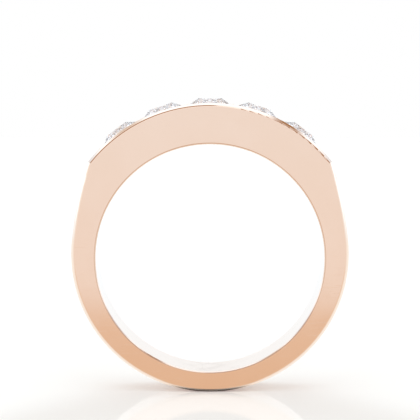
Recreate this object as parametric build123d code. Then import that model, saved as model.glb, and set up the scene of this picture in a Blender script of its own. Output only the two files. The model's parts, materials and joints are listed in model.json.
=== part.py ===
from build123d import *
import os
from math import asin, atan2, cos, degrees, hypot, radians, sin, tan

# A channel-set wedding band: one cast rose-gold band and a row of round brilliant diamonds.
# Millimetres. The origin is the centre of the finger bore, +Y runs along the bore and +Z
# points at the middle of the stone row, so the outline of the band lies in the XZ plane.

# Band
bore_radius = 8.65          # finger size, 17.3 mm across
top_wall = 3.1              # from the bore to the crown of the band
side_wall = 1.85            # from the bore to the flanks
base_wall = 1.55            # from the bore to the lowest point
flank_start = 7.0           # degrees above the horizontal where a flank leaves the base arc
shoulder_land = 1.42        # solid metal between the end of the channel and a shoulder corner
corner_radius = 0.15        # rounding of the two shoulder corners
outer_edge_radius = 0.26    # rounding of the outer rim of both side faces
bore_edge_radius = 0.11     # rounding where the bore meets the side faces

# Diamonds, round brilliant cut, from left to right
stone_names = [
    "diamond_left_outer",
    "diamond_left_inner",
    "diamond_centre",
    "diamond_right_inner",
    "diamond_right_outer",
]
stone_diameter = 3.1
stone_gap = 0.57            # between neighbouring girdles
girdle_thickness = 0.09
table_ratio = 0.57          # table corner to corner over the diameter
crown_angle = 34.5          # degrees
pavilion_angle = 40.75      # degrees
star_ratio = 0.5            # how far the star facets reach from the table to the girdle
lower_half_ratio = 0.77     # how far the lower girdle facets reach from the girdle to the culet
main_facets = 8

# Setting
rail_width = 0.55
rail_grip = 0.1             # how far each rail reaches over a girdle
rail_height = 0.13          # rail top above the girdle at the middle of a stone
rail_lip_radius = 0.06      # rounding of the rails' inner top edges
floor_depth = 0.8           # channel floor below the rail top
channel_end_gap = 0.12      # between an end stone's girdle and the end of the channel
channel_end_radius = 1.0    # rounding of the channel's ends
seat_clearance = 0.02       # between a stone and the metal that is cut for it
culet_hole_radius = 0.6     # light hole where it meets a seat
culet_hole_flare = 0.35     # how much wider the light hole is at the bore

# Worked out from the sizes above
stone_count = len(stone_names)
stone_radius = stone_diameter / 2
facet_step = 360 / main_facets
half_step = radians(facet_step / 2)
quarter_step = radians(facet_step / 4)
table_radius = table_ratio * stone_radius
crown_height = (stone_radius - table_radius) * tan(radians(crown_angle))
channel_width = stone_diameter - 2 * rail_grip
band_width = channel_width + 2 * rail_width
top_radius = bore_radius + top_wall
base_radius = bore_radius + side_wall
base_rise = side_wall - base_wall
girdle_level = top_radius - rail_height
floor_radius = top_radius - floor_depth


def stone_step():
    """Degrees between neighbouring stones, whose girdles come closest at their lower edges."""
    lower_level = girdle_level - girdle_thickness
    half_stone = atan2(stone_radius, lower_level)
    half_gap = asin(stone_gap / 2 / hypot(stone_radius, lower_level))
    return 2 * degrees(half_stone + half_gap)


def stone_angles():
    """Places of the stones, in degrees from the middle of the crown towards +X."""
    step = stone_step()
    return [(i - (stone_count - 1) / 2) * step for i in range(stone_count)]


def channel_end():
    """Degrees from the middle of the crown to the end of the channel."""
    reach = stone_radius + channel_end_gap
    return stone_angles()[-1] + degrees(atan2(reach, girdle_level))


def on_circle(radius, angle, rise=0.0):
    """A point at an angle in degrees from +X towards +Z, on a circle centred above the bore."""
    return (radius * cos(radians(angle)), rise + radius * sin(radians(angle)))


def arc(radius, start, end, rise=0.0):
    """An arc between two angles in degrees."""
    return ThreePointArc(*[on_circle(radius, a, rise) for a in (start, (start + end) / 2, end)])


def side_outline():
    """The band seen along the bore, still solid: base, two nearly flat flanks and the crown."""
    corner = 90 - channel_end() - degrees(shoulder_land / top_radius)
    crown = arc(top_radius, corner, 180 - corner)
    base = arc(base_radius, flank_start, -180 - flank_start, base_rise)
    flank = TangentArc(base @ 0, crown @ 0, tangent=-(base % 0))
    return make_face(Wire([crown, flank, flank.mirror(Plane.YZ), base]))


def facet_plane(azimuth, slope, radius, level, clearance):
    """Plane of a facet that passes through a radius and level, its normal tilted out from Z."""
    normal = Vector(sin(slope) * cos(azimuth), sin(slope) * sin(azimuth), cos(slope))
    point = Vector(radius * cos(azimuth), radius * sin(azimuth), level)
    return Plane(origin=point + normal * clearance, z_dir=normal)


def brilliant(clearance=0.0):
    """Round brilliant with its upper girdle edge at Z = 0 and its table towards +Z.

    A clearance moves every facet and the girdle outwards, which gives the tool for its seat."""
    crown = radians(crown_angle)
    pavilion = radians(pavilion_angle)
    table_edge = table_radius * cos(half_step)
    star_reach = table_edge + star_ratio * (stone_radius - table_edge)
    star_level = (stone_radius - star_reach * cos(half_step)) * tan(crown)
    star_slope = atan2(crown_height - star_level, star_reach - table_edge)
    upper_slope = atan2(star_level, (stone_radius - star_reach) * cos(quarter_step))
    lower_reach = (1 - lower_half_ratio) * stone_radius
    lower_drop = (stone_radius - lower_reach * cos(half_step)) * tan(pavilion)
    lower_slope = atan2(lower_drop, (stone_radius - lower_reach) * cos(quarter_step))
    chord = stone_radius * cos(quarter_step)
    under = radians(180)
    girdle_base = -girdle_thickness

    planes = [Plane(origin=(0, 0, crown_height + clearance))]
    for i in range(main_facets):
        main = radians(i * facet_step)
        between = main + half_step
        planes.append(facet_plane(main, crown, stone_radius, 0, clearance))
        planes.append(facet_plane(between, star_slope, table_edge, crown_height, clearance))
        planes.append(facet_plane(main, under - pavilion, stone_radius, girdle_base, clearance))
        for azimuth in (main + quarter_step, main - quarter_step):
            planes.append(facet_plane(azimuth, upper_slope, chord, 0, clearance))
            planes.append(facet_plane(azimuth, under - lower_slope, chord, girdle_base, clearance))

    stone = Cylinder(stone_radius + clearance, 4 * stone_radius)
    for plane in planes:
        stone = split(stone, bisect_by=plane, keep=Keep.BOTTOM)
    return stone


def seat():
    """Everything cut away for one stone: its own shape, a drilled cone and a flared light hole."""
    slope = tan(radians(pavilion_angle))
    culet_level = -girdle_thickness - stone_radius * slope - seat_clearance
    cone_radius = stone_radius + seat_clearance
    cone_top = -girdle_thickness - stone_radius * (1 - cos(half_step)) * slope
    cone_height = cone_top - culet_level
    cone = Pos(0, 0, cone_top - cone_height / 2) * Cone(0, cone_radius, cone_height)
    hole_top = culet_level + cone_height * culet_hole_radius / cone_radius
    flare_radius = culet_hole_radius + culet_hole_flare
    # The hole starts where its rim, at either side of the band, is inside the bore.
    hole_bottom = bore_radius * cos(asin(flare_radius / bore_radius)) - girdle_level - bore_edge_radius
    hole_height = hole_top - hole_bottom
    hole = Pos(0, 0, hole_top - hole_height / 2) * Cone(flare_radius, culet_hole_radius, hole_height)
    return brilliant(seat_clearance) + cone + hole


def on_crown(angle):
    """Place of a stone on the band: its axis points outwards, its girdle at the girdle level."""
    return Rot(0, angle, 0) * Pos(0, 0, girdle_level)


def channel():
    """The recess between the two rails, closed by a rounded wall beyond each end stone."""
    start = 90 - channel_end()
    floor = arc(floor_radius, start, 180 - start)
    opening = arc(top_radius + floor_depth, start, 180 - start)
    ends = [Line(floor @ t, opening @ t) for t in (0, 1)]
    profile = Plane.XZ * make_face(Wire([floor, ends[1], opening, ends[0]]))
    body = extrude(profile, channel_width / 2, both=True)
    upright = [e for e in body.edges().filter_by(GeomType.LINE) if abs((e % 0.5).Y) < 0.5]
    return fillet(upright, channel_end_radius)


def rim_edges(body, side, outer):
    """Edges round the outside, or round the bore, of the flat side face at -Y (0) or +Y (-1)."""
    face = body.faces().filter_by(Axis.Y).sort_by(Axis.Y)[side]
    wire = face.outer_wire() if outer else face.inner_wires()[0]
    return wire.edges()


def blank_band():
    """The band before any stone is set: outline, bore and every rounded rim."""
    blank = extrude(Plane.XZ * side_outline(), band_width / 2, both=True)
    corners = blank.edges().filter_by(GeomType.LINE).sort_by(Axis.Z)[-2:]
    blank = fillet(corners, corner_radius)
    blank = blank - Rot(90, 0, 0) * Cylinder(bore_radius, 2 * band_width)
    for side in (0, -1):
        blank = fillet(rim_edges(blank, side, True), outer_edge_radius)
        blank = fillet(rim_edges(blank, side, False), bore_edge_radius)
    return blank


def is_lip_edge(edge):
    """Whether an edge of the band lies on the crown and bounds the channel."""
    points = [edge @ t for t in (0, 0.5, 1)]
    on_top = all(abs(hypot(p.X, p.Z) - top_radius) < 1e-3 for p in points)
    within = all(abs(p.Y) < channel_width / 2 + 1e-3 for p in points)
    return on_top and within


def band():
    """The whole casting, with its channel, seats and light holes."""
    body = blank_band() - channel()
    body = fillet([edge for edge in body.edges() if is_lip_edge(edge)], rail_lip_radius)
    for angle in stone_angles():
        body = body - on_crown(angle) * seat()
    return body


pieces = {"band": band()}
for name, angle in zip(stone_names, stone_angles()):
    pieces[name] = on_crown(angle) * brilliant()

os.makedirs("parts", exist_ok=True)
for name, piece in pieces.items():
    piece.label = name
    export_step(piece, f"parts/{name}.step")
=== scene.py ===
import json
from math import asin, radians

import bpy
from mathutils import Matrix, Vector


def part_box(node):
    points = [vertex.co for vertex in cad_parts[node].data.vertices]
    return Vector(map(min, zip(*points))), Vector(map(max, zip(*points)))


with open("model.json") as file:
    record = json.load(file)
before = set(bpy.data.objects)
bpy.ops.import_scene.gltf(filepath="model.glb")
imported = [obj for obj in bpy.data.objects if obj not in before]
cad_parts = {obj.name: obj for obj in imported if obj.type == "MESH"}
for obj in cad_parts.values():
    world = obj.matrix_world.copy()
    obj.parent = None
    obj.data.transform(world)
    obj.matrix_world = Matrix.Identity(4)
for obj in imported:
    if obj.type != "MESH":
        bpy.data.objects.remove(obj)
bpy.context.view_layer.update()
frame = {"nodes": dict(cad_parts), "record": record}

# Sizes, in metres unless the name says mm
BAND_LOW, BAND_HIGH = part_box("band")
BORE_RADIUS = frame["record"]["mounts"][0]["dims"]["r_mm"] / 1000
FLOOR_LEVEL = BAND_LOW.z
FLOOR_REACH = 60 * BORE_RADIUS
MM = 0.001
BORE_MM = BORE_RADIUS / MM
HALF_WIDTH_MM = BAND_HIGH.y / MM

# Camera: distances are in bore radii, so it frames any finger size in the same way
CAMERA_BACK = 13.39
CAMERA_UP = 1.542
CAMERA_PITCH = 4.84         # degrees down
CAMERA_LENS = 130.0         # mm, on a 36 mm sensor
SENSOR_WIDTH = 36.0

# A diamond needs many bounces before its light gets out
BOUNCES = 32

# The studio's brightest light. Its colours below are given as seen, and stored as a part of this.
BRIGHTEST = 2.0


# ---------------------------------------------------------------- node helpers

def node(tree, kind, inputs=None, **settings):
    """Adds a node. An input is a value, or the output socket that feeds it."""
    new = tree.nodes.new(kind)
    for key, value in settings.items():
        setattr(new, key, value)
    for key, value in (inputs or {}).items():
        if isinstance(value, bpy.types.NodeSocket):
            tree.links.new(value, new.inputs[key])
        else:
            new.inputs[key].default_value = value
    return new


def calc(tree, operation, *values):
    """A Math node's output."""
    return node(tree, "ShaderNodeMath", dict(enumerate(values)), operation=operation).outputs[0]


def product(tree, first, *others):
    """Several values multiplied, one after the other."""
    for other in others:
        first = calc(tree, "MULTIPLY", first, other)
    return first


def length(tree, first, second):
    """The length of a vector that has these two parts at right angles."""
    squares = [calc(tree, "MULTIPLY", part, part) for part in (first, second)]
    return calc(tree, "SQRT", calc(tree, "ADD", *squares))


def step(tree, value, start, end, low=0.0, high=1.0):
    """Goes smoothly from low to high as the value goes from start to end."""
    ends = {"Value": value, "From Min": start, "From Max": end, "To Min": low, "To Max": high}
    return node(tree, "ShaderNodeMapRange", ends, interpolation_type="SMOOTHSTEP").outputs[0]


def between(tree, value, start, end, soft):
    """One between start and end, and zero outside, with soft edges of the given width."""
    rise = step(tree, value, start - soft / 2, start + soft / 2)
    fall = step(tree, value, end - soft / 2, end + soft / 2, 1.0, 0.0)
    return product(tree, rise, fall)


def blend(tree, factor, first, second):
    """Mixes two colours. Sockets 6 and 7 are the Mix node's colours A and B."""
    mixed = node(tree, "ShaderNodeMix", {"Factor": factor, 6: first, 7: second}, data_type="RGBA")
    return mixed.outputs[2]


def ramp(tree, value, start, end, stops):
    """A colour ramp over a range of values; stops are (value, colour)."""
    place = node(tree, "ShaderNodeMapRange", {"Value": value, "From Min": start, "From Max": end})
    colours = node(tree, "ShaderNodeValToRGB", {0: place.outputs[0]})
    elements = colours.color_ramp.elements
    while len(elements) < len(stops):
        elements.new(0.5)
    for element, (at, colour) in zip(elements, stops):
        element.position = (at - start) / (end - start)
    for element, (at, colour) in zip(elements, stops):
        element.color = stored(colour)
    return colours.outputs[0]


def stored(colour):
    """A light's colour as a part of the brightest one."""
    return (*(part / BRIGHTEST for part in colour), 1)


def empty_material(name):
    """A new material and its node tree, with nothing in it."""
    material = bpy.data.materials.new(name)
    material.use_nodes = True
    material.node_tree.nodes.clear()
    return material, material.node_tree


def surface(name):
    """A new material, its tree and its Principled shader, already wired to the output."""
    material, tree = empty_material(name)
    shader = tree.nodes.new("ShaderNodeBsdfPrincipled")
    node(tree, "ShaderNodeOutputMaterial", {"Surface": shader.outputs["BSDF"]})
    return material, tree, shader


# ---------------------------------------------------------------- finishes

# Colours of the gold: two tones of its faces, a painted highlight for its rims, a painted dark
# reflection for the bore's rim, and the seats
GOLD = (0.866, 0.686, 0.574, 1)
GOLD_PALE = (0.877, 0.702, 0.594, 1)
GOLD_RIM_HIGHLIGHT = (0.94, 0.86, 0.78, 1)
BORE_RIM_PAINTED_REFLECTION = (0.71, 0.52, 0.41, 1)
WHITE_PLATING = (0.93, 0.93, 0.94, 1)

# Colours of the diamonds: their clearest and coolest parts, an inclusion and the girdle
DIAMOND_CLEAR = (1.0, 1.0, 1.0, 1)
DIAMOND_COOL = (0.955, 0.975, 1.0, 1)
DIAMOND_PINPOINT = (0.6, 0.62, 0.65, 1)
DIAMOND_GIRDLE = (0.93, 0.94, 0.95, 1)
DIAMOND_IOR = 2.417

# The bore's rim, in mm: where its painted dark reflection line starts and ends outwards, and
# where it starts and is full, inwards from the side faces
RIM_LINE = (0.045, 0.125)
RIM_DEPTH = (0.13, 0.09)

# Points this near a stone's full radius are on its girdle
GIRDLE_SHARE = 0.995


def measure_stones():
    """Per stone: its axis, its girdle's level along that axis and its radius, in mm."""
    stones = {}
    for row in frame["record"]["subparts"]:
        if row["material_slot"] != "diamond":
            continue
        vertices = frame["nodes"][row["node"]].data.vertices
        points = {tuple(round(c / MM, 4) for c in v.co) for v in vertices}
        points = [Vector(p) for p in sorted(points)]
        axis = sum(points, Vector()).normalized()
        radius = max((p - axis * p.dot(axis)).length for p in points)
        girdle = [p for p in points if (p - axis * p.dot(axis)).length > GIRDLE_SHARE * radius]
        stones[row["node"]] = (axis, max(p.dot(axis) for p in girdle), radius)
    return stones


def position(tree):
    """The point in the ring's own frame, in mm: x, y, z, its vector, and how far the bore's
    axis is."""
    coords = node(tree, "ShaderNodeTexCoord")
    metres = {0: coords.outputs["Object"], "Scale": 1 / MM}
    point = node(tree, "ShaderNodeVectorMath", metres, operation="SCALE").outputs[0]
    x, y, z = node(tree, "ShaderNodeSeparateXYZ", {0: point}).outputs
    return x, y, z, point, length(tree, x, z)


def noise(tree, vector, scale, detail=2.0, roughness=0.5):
    """A noise texture's value; its scale is per mm."""
    values = {"Vector": vector, "Scale": scale, "Detail": detail, "Roughness": roughness}
    return node(tree, "ShaderNodeTexNoise", values).outputs[0]


def bump(tree, height, distance, before=None):
    """Raises the surface by up to a distance in metres, on top of an earlier bump."""
    values = {"Height": height, "Distance": distance}
    if before is not None:
        values["Normal"] = before
    return node(tree, "ShaderNodeBump", values).outputs[0]


def polishing_lines(tree, x, y, z, reach):
    """Fine lines left by the polishing wheel, running round the ring on every face."""
    lengthwise, across = 5.0, 16.0
    round_x = product(tree, calc(tree, "DIVIDE", x, reach), lengthwise)
    round_z = product(tree, calc(tree, "DIVIDE", z, reach), lengthwise)
    place = {0: round_x, 1: product(tree, y, across), 2: round_z}
    vector = node(tree, "ShaderNodeCombineXYZ", place).outputs[0]
    values = {"Vector": vector, "W": product(tree, reach, across), "Scale": 1.0, "Detail": 3.0}
    return node(tree, "ShaderNodeTexNoise", values, noise_dimensions="4D").outputs[0]


def hairlines(tree, point, turn, scale):
    """Sparse, short and very thin scratches in one direction."""
    stretch = {"Vector": point, "Rotation": turn, "Scale": (0.5, 22.0, 22.0)}
    aligned = node(tree, "ShaderNodeMapping", stretch).outputs[0]
    return step(tree, noise(tree, aligned, scale, 1.0), 0.70, 0.76)


def seat_mask(tree, x, y, z, reach, stones):
    """One inside the seats cut for the stones. The ring is folded so that one stone's test
    does for all."""
    furthest = max(axis.x for axis, level, radius in stones.values())
    last = (len(stones) - 1) / 2
    pitch = asin(furthest) / last
    level, radius = next(iter(stones.values()))[1:]
    angle = calc(tree, "ARCTAN2", x, z)
    nearest = calc(tree, "ROUND", calc(tree, "DIVIDE", angle, pitch))
    nearest = calc(tree, "MAXIMUM", calc(tree, "MINIMUM", nearest, last), -last)
    off = calc(tree, "SUBTRACT", angle, product(tree, nearest, pitch))
    sideways = product(tree, reach, calc(tree, "SINE", off))
    height = product(tree, reach, calc(tree, "COSINE", off))
    inside = step(tree, length(tree, sideways, y), radius + 0.035, radius + 0.055, 1.0, 0.0)
    under = step(tree, height, level + 0.01, level + 0.05, 1.0, 0.0)
    deep = step(tree, reach, BORE_MM + 0.3, BORE_MM + 0.6)
    return product(tree, inside, under, deep)


def rim_highlight_mask(tree):
    """One where the surface is halfway between a side face and the outside or the bore, which
    is where the rims' painted highlight goes.
    """
    normal = node(tree, "ShaderNodeNewGeometry").outputs["Normal"]
    side = node(tree, "ShaderNodeSeparateXYZ", {0: normal}).outputs[1]
    square = product(tree, side, side)
    return product(tree, square, calc(tree, "SUBTRACT", 1.0, square), 4.0)


def bore_rim_reflection_mask(tree, y, reach):
    """One on the thin line where the bore meets the side faces, where a dark reflection is painted.
    """
    start, end = RIM_LINE
    line = between(tree, reach, BORE_MM + start, BORE_MM + end, 0.03)
    first, full = RIM_DEPTH
    depth = step(tree, calc(tree, "ABSOLUTE", y), HALF_WIDTH_MM - first, HALF_WIDTH_MM - full)
    return product(tree, line, depth)


def rose_gold(stones):
    """Polished rose gold: polishing lines, faint waviness, wiped patches, hairline scratches,
    painted highlights on the rims and a painted dark reflection line on the bore's rim. The
    seats have bright white plating, because the stones would pick up the pink."""
    material, tree, shader = surface("rose_gold_polished")
    x, y, z, point, reach = position(tree)
    seats = seat_mask(tree, x, y, z, reach, stones)
    lines = polishing_lines(tree, x, y, z, reach)
    tone = noise(tree, point, 0.35, 3.0)
    wiped = noise(tree, point, 0.8, 4.0, 0.6)
    scratches = calc(tree, "MAXIMUM", hairlines(tree, point, (0.3, 0.9, 0.2), 1.0),
                     hairlines(tree, point, (1.1, -0.6, 0.5), 1.3))

    colour = blend(tree, step(tree, tone, 0.3, 0.7), GOLD, GOLD_PALE)
    # Painted highlight: the rims' colour is lightened towards white, on top of what they really
    # mirror
    colour = blend(tree, rim_highlight_mask(tree), colour, GOLD_RIM_HIGHLIGHT)
    # Painted dark reflection: a darker line in the bore rim's colour, on top of what the rim really
    # mirrors
    colour = blend(tree, bore_rim_reflection_mask(tree, y, reach), colour, BORE_RIM_PAINTED_REFLECTION)
    colour = blend(tree, seats, colour, WHITE_PLATING)
    tree.links.new(colour, shader.inputs["Base Color"])
    shader.inputs["Metallic"].default_value = 1.0

    rough = step(tree, wiped, 0.35, 0.75, 0.03, 0.075)
    for mark, added in ((lines, 0.02), (scratches, 0.10), (seats, 0.05)):
        rough = calc(tree, "ADD", rough, product(tree, mark, added))
    tree.links.new(rough, shader.inputs["Roughness"])

    waves = bump(tree, noise(tree, point, 0.3, 1.0), 3e-7)
    polished = bump(tree, lines, 8e-8, waves)
    scratched = bump(tree, calc(tree, "SUBTRACT", 1.0, scratches), 2e-7, polished)
    tree.links.new(scratched, shader.inputs["Normal"])
    return material


def girdle_mask(tree, point, axis, level, radius):
    """One on a stone's narrow upright belt."""
    along = node(tree, "ShaderNodeVectorMath", {0: point, 1: tuple(axis)}, operation="DOT_PRODUCT")
    height = along.outputs["Value"]
    belt = between(tree, calc(tree, "SUBTRACT", height, level), -0.085, -0.005, 0.01)
    on_axis = {0: tuple(axis), "Scale": height}
    on_axis = node(tree, "ShaderNodeVectorMath", on_axis, operation="SCALE").outputs[0]
    away = node(tree, "ShaderNodeVectorMath", {0: point, 1: on_axis}, operation="SUBTRACT")
    away = node(tree, "ShaderNodeVectorMath", {0: away.outputs[0]}, operation="LENGTH")
    outermost = step(tree, away.outputs["Value"], radius - 0.04, radius - 0.02)
    return product(tree, belt, outermost)


def diamond(name, axis, level, radius):
    """Clear diamond with polished facets, a frosted girdle and a few pinpoint inclusions."""
    material, tree, shader = surface(name + "_clear")
    point = position(tree)[3]
    girdle = girdle_mask(tree, point, axis, level, radius)
    cells = {"Vector": point, "Scale": 2.6}
    pinpoints = node(tree, "ShaderNodeTexVoronoi", cells, feature="F1").outputs["Distance"]
    pinpoints = step(tree, pinpoints, 0.035, 0.06, 1.0, 0.0)

    tint = blend(tree, noise(tree, point, 0.9, 2.0), DIAMOND_CLEAR, DIAMOND_COOL)
    tint = blend(tree, product(tree, pinpoints, 0.25), tint, DIAMOND_PINPOINT)
    tint = blend(tree, girdle, tint, DIAMOND_GIRDLE)
    tree.links.new(tint, shader.inputs["Base Color"])

    polish = step(tree, noise(tree, point, 3.0, 2.0), 0.5, 0.8, 0.0, 0.012)
    rough = calc(tree, "ADD", polish, product(tree, girdle, 0.4))
    tree.links.new(rough, shader.inputs["Roughness"])
    bruted = product(tree, noise(tree, point, 45.0, 3.0), girdle)
    tree.links.new(bump(tree, bruted, 2e-6), shader.inputs["Normal"])
    shader.inputs["IOR"].default_value = DIAMOND_IOR
    shader.inputs["Transmission Weight"].default_value = 1.0
    return material


def dress_frame():
    """Gives the CAD nodes their finishes."""
    stones = measure_stones()
    gold = rose_gold(stones)
    for row in frame["record"]["subparts"]:
        name = row["node"]
        materials = frame["nodes"][name].data.materials
        materials.clear()
        materials.append(diamond(name, *stones[name]) if name in stones else gold)


# ---------------------------------------------------------------- studio

# Light from below the horizon, by degrees of elevation: a warm table in front of the ring, which
# ends in a soft edge, and the tent's front wall beyond it
TABLE_LIGHT = [
    (-90.0, (1.10, 1.05, 1.00)),
    (-40.0, (0.90, 0.78, 0.67)),
    (-14.0, (0.85, 0.60, 0.40)),
    (-9.0, (0.90, 0.70, 0.55)),
    (-8.0, (1.00, 0.93, 0.88)),
    (0.0, (1.0, 1.0, 1.0)),
]
# Light from above the horizon, by degrees from straight ahead of the front face
TENT_WHITE = (1.27, 1.31, 1.37)
TENT_BACK = (1.04, 1.14, 1.21)
TENT_LIGHT = [
    (0.0, (1.0, 1.0, 1.0)),
    (9.0, (1.2, 1.2, 1.2)),
    (45.0, TENT_WHITE),
    (140.0, TENT_WHITE),
    (158.0, TENT_BACK),
    (180.0, TENT_BACK),
]
# The opening in the tent that the lens looks through, by the same degrees. A key light stands
# in it, between two angles round from straight up.
OPENING_LIGHT = [
    (5.0, (1.0, 1.0, 1.0)),
    (9.0, (1.2, 1.2, 1.2)),
    (13.5, (1.2, 1.2, 1.2)),
    (16.0, (0.48, 0.27, 0.16)),
    (41.0, (0.46, 0.27, 0.16)),
    (50.0, TENT_WHITE),
]
OPENING_END = 50.0
KEY_LIGHT = (3.0, 28.0)
# Darker seams in the tent, which run from front to back: angle round from straight up, width,
# and colour
SEAMS = [
    (33.5, 12.0, (0.42, 0.21, 0.09)),
    (-36.5, 13.0, (0.78, 0.64, 0.54)),
    (61.0, 17.0, (0.80, 0.80, 0.86)),
    (-61.0, 17.0, (0.80, 0.80, 0.86)),
]
# A dark card behind the ring, which the floor mirrors: elevation, half-axes and colour
CARD_ELEVATION = 15.0
CARD_HALF_WIDTH = 13.0
CARD_HALF_HEIGHT = 3.6
CARD_LIGHT = (0.30, 0.30, 0.30)
# Paler boards low at both sides: angles round from straight up, and colour
SIDE_BOARDS = (92.0, 163.0)
SIDE_LIGHT = (1.04, 0.99, 0.94)

# The floor: its colour as seen, a dark colour that paints the shade at the ring's foot where the
# ring mirrors it, its gloss, and a painted glow that only the camera sees, which lightens its
# shadows
FLOOR_COLOUR = (0.58, 0.64, 0.61, 1)
FLOOR_MIRRORED_SHADE = (0.07, 0.055, 0.045, 1)
FLOOR_GLOSS = (0.155, 0.155, 0.155, 1)
FLOOR_PAINTED_GLOW = (0.277, 0.212, 0.205, 1)
FLOOR_ROUGHNESS = 0.02
# The ring mirrors the floor only where it is this near, fading out over this span
CONTACT = (0.2 * MM, 0.7 * MM)


def tent(tree, elevation, ahead, around):
    """The tent with its opening and its seams."""
    walls = ramp(tree, ahead, 0, 180, TENT_LIGHT)
    opening = ramp(tree, ahead, 0, 60, OPENING_LIGHT)
    beside_key = calc(tree, "SUBTRACT", 1.0, between(tree, around, *KEY_LIGHT, 4))
    in_opening = product(tree, step(tree, elevation, 3, 8), beside_key,
                         step(tree, ahead, OPENING_END, OPENING_END - 2))
    sky = blend(tree, in_opening, walls, opening)
    overhead = between(tree, ahead, 50, 150, 12)
    for middle, width, colour in SEAMS:
        seam = between(tree, around, middle - width / 2, middle + width / 2, 9)
        sky = blend(tree, product(tree, seam, overhead), sky, stored(colour))
    return sky


def card_mask(tree, x, y, elevation):
    """One on the oval card."""
    sideways = calc(tree, "DEGREES", calc(tree, "ARCTAN2", x, y))
    card_x = calc(tree, "DIVIDE", sideways, CARD_HALF_WIDTH)
    above = calc(tree, "SUBTRACT", elevation, CARD_ELEVATION)
    card_z = calc(tree, "DIVIDE", above, CARD_HALF_HEIGHT)
    card = calc(tree, "ADD", product(tree, card_x, card_x), product(tree, card_z, card_z))
    return step(tree, card, 0.64, 1.1, 1.0, 0.0)


def studio():
    """A white light tent, as a world that depends only on direction."""
    world = bpy.data.worlds.new("studio")
    bpy.context.scene.world = world
    world.use_nodes = True
    tree = world.node_tree
    tree.nodes.clear()
    coords = node(tree, "ShaderNodeTexCoord")
    x, y, z = node(tree, "ShaderNodeSeparateXYZ", {0: coords.outputs["Generated"]}).outputs
    elevation = calc(tree, "DEGREES", calc(tree, "ARCSINE", z))
    ahead = calc(tree, "DEGREES", calc(tree, "ARCCOSINE", product(tree, y, -1.0)))
    around = calc(tree, "DEGREES", calc(tree, "ARCTAN2", x, z))

    sky = tent(tree, elevation, ahead, around)
    sky = blend(tree, card_mask(tree, x, y, elevation), sky, stored(CARD_LIGHT))
    table = ramp(tree, elevation, -90, 0, TABLE_LIGHT)
    boards = between(tree, calc(tree, "ABSOLUTE", around), *SIDE_BOARDS, 8)
    boards = product(tree, boards, step(tree, ahead, 18, 30))
    table = blend(tree, boards, table, stored(SIDE_LIGHT))
    # The tent's back wall reaches below the horizon
    behind = product(tree, step(tree, elevation, -10.5, -8.5), step(tree, ahead, 150, 160))
    above = calc(tree, "MAXIMUM", step(tree, elevation, 0, 6), behind)
    light = blend(tree, above, table, sky)

    glow = node(tree, "ShaderNodeBackground", {"Color": light, "Strength": BRIGHTEST})
    seen = node(tree, "ShaderNodeBackground", {"Color": (1, 1, 1, 1), "Strength": 1.0})
    camera_ray = node(tree, "ShaderNodeLightPath").outputs["Is Camera Ray"]
    both = node(tree, "ShaderNodeMixShader", {0: camera_ray, 1: glow.outputs[0], 2: seen.outputs[0]})
    node(tree, "ShaderNodeOutputWorld", {"Surface": both.outputs[0]})


def floor_material():
    """Pale and glossy, and unseen by mirrored light that comes from further than the contact.
    Where the ring mirrors it near the contact it is painted dark, as shade, and the camera
    sees a painted glow on it that lightens its shadows.
    """
    material, tree = empty_material("floor_gloss")
    path = node(tree, "ShaderNodeLightPath").outputs
    # Painted shade: in glossy rays the floor turns dark, so the ring's foot mirrors a dark contact
    # line
    shade = blend(tree, path["Is Glossy Ray"], FLOOR_COLOUR, FLOOR_MIRRORED_SHADE)
    matt = node(tree, "ShaderNodeBsdfDiffuse", {"Color": shade}).outputs[0]
    polish = {"Color": FLOOR_GLOSS, "Roughness": FLOOR_ROUGHNESS}
    gloss = node(tree, "ShaderNodeBsdfAnisotropic", polish).outputs[0]
    # Painted glow: the floor gives light that only the camera sees, which lightens its shadows and
    # lights nothing
    own = {"Color": FLOOR_PAINTED_GLOW, "Strength": path["Is Camera Ray"]}
    glow = node(tree, "ShaderNodeEmission", own).outputs[0]
    lit = node(tree, "ShaderNodeAddShader", {0: matt, 1: gloss}).outputs[0]
    lit = node(tree, "ShaderNodeAddShader", {0: lit, 1: glow}).outputs[0]
    unseen = product(tree, path["Is Glossy Ray"], step(tree, path["Ray Length"], *CONTACT))
    gone = node(tree, "ShaderNodeBsdfTransparent").outputs[0]
    both = node(tree, "ShaderNodeMixShader", {0: unseen, 1: lit, 2: gone})
    node(tree, "ShaderNodeOutputMaterial", {"Surface": both.outputs[0]})
    return material


def floor():
    """A plain pale floor at the band's lowest point."""
    mesh = bpy.data.meshes.new("floor")
    corners = [(-1, -1), (1, -1), (1, 1), (-1, 1)]
    points = [(FLOOR_REACH * x, FLOOR_REACH * y, 0) for x, y in corners]
    mesh.from_pydata(points, [], [(0, 1, 2, 3)])
    mesh.materials.append(floor_material())
    ground = bpy.data.objects.new("floor", mesh)
    ground.location = (0, 0, FLOOR_LEVEL)
    bpy.context.collection.objects.link(ground)


def camera():
    """A long lens a little above the ring, looking slightly down at its front face."""
    data = bpy.data.cameras.new("camera")
    data.lens = CAMERA_LENS
    data.sensor_width = SENSOR_WIDTH
    data.clip_start = 0.001
    data.clip_end = 10
    view = bpy.data.objects.new("camera", data)
    view.location = (0, -CAMERA_BACK * BORE_RADIUS, CAMERA_UP * BORE_RADIUS)
    view.rotation_euler = (radians(90 - CAMERA_PITCH), 0, 0)
    bpy.context.collection.objects.link(view)
    bpy.context.scene.camera = view


dress_frame()
studio()
floor()
camera()
bpy.context.scene.view_settings.view_transform = "Standard"
bpy.context.scene.cycles.max_bounces = BOUNCES
bpy.context.scene.cycles.glossy_bounces = BOUNCES
bpy.context.scene.cycles.transmission_bounces = BOUNCES
